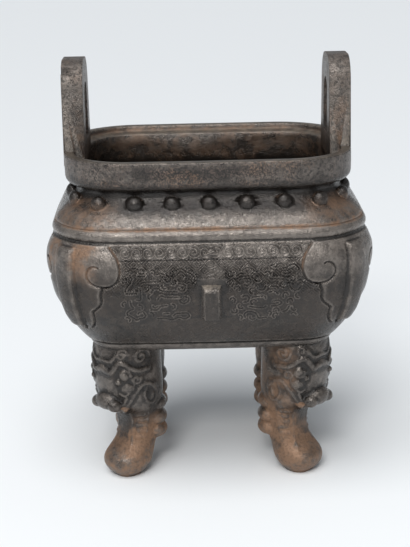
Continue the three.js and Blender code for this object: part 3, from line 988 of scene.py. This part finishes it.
bronzeLook = {
    "dark": (0.016, 0.0132, 0.0116, 1), "grey": (0.046, 0.036, 0.029, 1), "brown": (0.040, 0.027, 0.019, 1),
    "rubbedAndSheen": (0.21, 0.182, 0.16, 1), "ochre": (0.27, 0.158, 0.094, 1), "dustAndLight": (0.21, 0.172, 0.132, 1),
    "rimBrown": (0.16, 0.115, 0.092, 1), "speckle": (0.27, 0.25, 0.225, 1),
    "sootAndShade": (0.011, 0.009, 0.008, 1),
    "metal": 0.55, "sheen": 1.0,
    "cellWide": 9.4, "cellHigh": 9.0, "cellRaise": 2.4, "lozengeLines": 14.6,
    "spiralWide": 6.8, "spiralHeight": 161.7, "spiralLines": 3.3, "bandLow": 157.2, "bandFull": 158.0,
}


def makeBronze():
    look = bronzeLook
    material = bpy.data.materials.new("bronze")
    material.use_nodes = True
    tree = material.node_tree
    w = Wire(tree)
    place = w.node("ShaderNodeTexCoord", {}, {}, "Object")

    def noise(scale, detail=4.0, rough=0.6):
        return w.node("ShaderNodeTexNoise", {}, {"Vector": place, "Scale": scale, "Detail": detail,
                                                 "Roughness": rough})

    def mark(name):
        return w.node("ShaderNodeAttribute", {"attribute_name": name}, {}, "Fac")

    z = w.node("ShaderNodeSeparateXYZ", {}, {0: place}, "Z") * 1000.0
    patches = noise(38.0, 5.0).ramp(0.38, 0.66)
    mottle = noise(170.0, 5.0, 0.65).ramp(0.36, 0.66)
    grain = noise(900.0, 3.0, 0.6)
    pits = noise(520.0, 3.0, 0.7).ramp(0.36, 0.52)
    recess = mark("recess")
    ochreMark, paleMark, rimMark, fret = mark("ochre"), mark("pale"), mark("rim"), mark("fret")

    # cast pattern: nested lozenges over the panel, a row of spirals above them
    p = mark("along") * 100.0
    cellP = w.math("ABSOLUTE", w.math("FRACT", p / look["cellWide"]) - 0.5) * 2.0
    cellZ = w.math("ABSOLUTE", w.math("FRACT", (z + look["cellRaise"]) / look["cellHigh"]) - 0.5) * 2.0
    lozenge = w.math("COSINE", (cellP + cellZ) * look["lozengeLines"])
    a = (w.math("FRACT", p / look["spiralWide"]) - 0.5) * look["spiralWide"]
    b = z - look["spiralHeight"]
    r = w.math("SQRT", a * a + b * b)
    spiral = w.math("COSINE", r * look["spiralLines"] - w.math("ARCTAN2", b, a))
    upper = z.ramp(look["bandLow"], look["bandFull"])
    lines = upper * spiral + (1.0 - upper) * lozenge
    worn = 0.08 + 0.92 * z.ramp(130.0, 150.0)
    lines = lines * fret * worn * (0.4 + 0.6 * noise(120.0, 3.0).ramp(0.38, 0.6))

    colour = mottle.mix(look["dark"], look["grey"])
    colour = (patches * 0.55).mix(colour, look["brown"])
    crumbs = noise(1050.0, 3.0, 0.7).ramp(0.46, 0.58)
    skin = (crumbs * (0.2 + 0.8 * noise(70.0, 4.0).ramp(0.36, 0.62))).mix(look["dark"], look["rimBrown"])
    colour = rimMark.mix(colour, skin)
    sootAndShade = mark("sootAndShade")
    # ridges lightened: rubbed wear, with a painted highlight on the raised edges
    rubbedAndSheen = (recess * -1.0).ramp(0.15, 0.9) * (0.35 + 0.65 * mottle) * (1.0 - 0.75 * sootAndShade)
    bosses = z.ramp(181.0, 184.0) * (1.0 - z.ramp(196.0, 199.0))
    colour = (rubbedAndSheen * (0.58 - 0.3 * bosses)).mix(colour, look["rubbedAndSheen"])
    # painted sheen: paler from the upper belly to the shoulder, where the top light falls, and paler on the
    # handles
    shoulder = 1.0 - 0.6 * z.ramp(175.0, 178.0) - 0.4 * z.ramp(181.0, 186.0)
    paintedSheen = 1.25 * z.ramp(138.0, 158.0) * shoulder + 0.6 * z.ramp(214.0, 220.0)
    colour = (paintedSheen * (0.4 + 0.6 * mottle) * 0.8).mix(colour, look["rubbedAndSheen"])
    # soot and painted shade over the neck, the inside and the block fronts
    colour = (sootAndShade * (0.25 + 0.4 * patches)).mix(colour, look["sootAndShade"])
    colour = (lines.ramp(0.15, 0.9) * 0.45).mix(colour, look["rubbedAndSheen"])
    colour = ((lines * -1.0).ramp(0.1, 0.9) * 0.5).mix(colour, look["sootAndShade"])
    # painted shade: recesses darkened towards black, less in the band of the bosses
    deep = recess.ramp(0.15, 0.8)
    colour = (deep * (0.8 - 0.45 * bosses)).mix(colour, look["sootAndShade"])
    rust = ochreMark * (0.25 + 0.75 * noise(95.0, 6.0, 0.7).ramp(0.36, 0.62)) + deep * ochreMark * 0.3
    colour = (rust.ramp(0.05, 0.9) * 0.92).mix(colour, look["ochre"])
    rimRust = rimMark * noise(30.0, 5.0).ramp(0.5, 0.62) * crumbs
    colour = (rimRust * 0.45).mix(colour, look["ochre"])
    flecks = noise(430.0, 4.0, 0.75).ramp(0.55, 0.68)
    colour = (mark("speckle") * flecks * 0.75).mix(colour, look["speckle"])
    # dust on the lip top, and painted light on the block tops
    colour = (paleMark * (0.3 + 0.7 * mottle)).mix(colour, look["dustAndLight"])
    stray = noise(260.0, 5.0, 0.7).ramp(0.64, 0.72)
    colour = (stray * 0.35).mix(colour, look["dustAndLight"])
    colour = ((1.0 - pits) * (0.3 + 0.5 * rimMark)).mix(colour, look["sootAndShade"])

    roughness = 0.2 - 0.05 * bosses - 0.03 * sootAndShade + 0.11 * mottle + 0.4 * rust
    roughness = roughness + 0.15 * paleMark - 0.1 * rubbedAndSheen + 0.12 * rimMark
    height = lines * 1.3 + pits * (0.15 + 0.2 * rimMark) + grain * 0.6
    height = height + crumbs * (0.12 + 0.2 * rimMark) + mottle * 0.2
    bump = w.node("ShaderNodeBump", {}, {"Strength": 0.85, "Distance": 0.0005, "Height": height}, "Normal")
    shader = tree.nodes["Principled BSDF"]
    shader.inputs["Metallic"].default_value = look["metal"]
    shader.inputs["Specular IOR Level"].default_value = look["sheen"]
    for name, wire in (("Base Color", colour), ("Roughness", roughness), ("Normal", bump)):
        tree.links.new(wire.socket, shader.inputs[name])
    return material


censer.data.materials.clear()
censer.data.materials.append(makeBronze())
print("bronze ready")


# floor, lights and camera

def makeFloor():
    bm = bmesh.new()
    bmesh.ops.create_grid(bm, x_segments=1, y_segments=1, size=9.0)
    floor = makeObject("floor", bm)
    paint = bpy.data.materials.new("floorPaint")
    paint.use_nodes = True
    paint.node_tree.nodes["Principled BSDF"].inputs["Base Color"].default_value = (0.87, 0.895, 0.915, 1)
    paint.node_tree.nodes["Principled BSDF"].inputs["Roughness"].default_value = 0.8
    floor.data.materials.append(paint)


def makeLight(name, place, aim, size, power, colour):
    lamp = bpy.data.lights.new(name, "AREA")
    lamp.shape = "RECTANGLE"
    lamp.size, lamp.size_y = size
    lamp.energy = power
    lamp.color = colour
    holder = bpy.data.objects.new(name, lamp)
    holder.location = place
    holder.rotation_euler = (Vector(aim) - Vector(place)).to_track_quat("-Z", "Y").to_euler()
    scene.collection.objects.link(holder)


def makeSun(come, power, spread):
    lamp = bpy.data.lights.new("sky", "SUN")
    lamp.energy = power
    lamp.angle = radians(spread)
    holder = bpy.data.objects.new("sky", lamp)
    holder.rotation_euler = Vector(come).to_track_quat("Z", "Y").to_euler()
    scene.collection.objects.link(holder)


view = {"azimuth": -0.71, "elevation": 16.35, "roll": -1.14, "focal": 1290.0, "distance": 0.856,
        "aim": (-0.0027, 0.0, 0.1251), "frameHeight": 547}


def makeCamera():
    az, el, roll = (radians(view[key]) for key in ("azimuth", "elevation", "roll"))
    back = Vector((sin(az) * cos(el), -cos(az) * cos(el), sin(el)))
    right = (-back).cross(Vector((0, 0, 1))).normalized()
    up = right.cross(-back)
    acrossFrame = right * cos(roll) + up * sin(roll)
    upFrame = up * cos(roll) - right * sin(roll)
    camera = bpy.data.cameras.new("camera")
    camera.sensor_fit = "VERTICAL"
    camera.sensor_height = 24.0
    camera.lens = 24.0 * view["focal"] / view["frameHeight"]
    camera.clip_start = 0.01
    camera.clip_end = 60
    holder = bpy.data.objects.new("camera", camera)
    turn = Matrix((acrossFrame, upFrame, back)).transposed().to_4x4()
    holder.matrix_world = Matrix.Translation(Vector(view["aim"]) + back * view["distance"]) @ turn
    scene.collection.objects.link(holder)
    scene.camera = holder


studio = {"skyColour": (0.92, 0.96, 1.0, 1), "sky": 0.31, "sunFrom": (-0.18, -0.42, 1.0), "sun": 2.1,
          "sunSpread": 50, "softboxAt": (-0.3, -1.5, 1.25), "softboxAim": (0, 0, 0.15),
          "softboxSize": (0.5, 0.35), "softbox": 13, "softboxColour": (1, 0.98, 0.95)}

makeFloor()
world = bpy.data.worlds.new("studio")
world.use_nodes = True
world.node_tree.nodes["Background"].inputs["Color"].default_value = studio["skyColour"]
world.node_tree.nodes["Background"].inputs["Strength"].default_value = studio["sky"]
scene.world = world
makeSun(studio["sunFrom"], studio["sun"], studio["sunSpread"])
makeLight("softbox", studio["softboxAt"], studio["softboxAim"], studio["softboxSize"], studio["softbox"],
          studio["softboxColour"])
makeCamera()
scene.view_settings.view_transform = "Standard"   # plain contrast, as a photograph
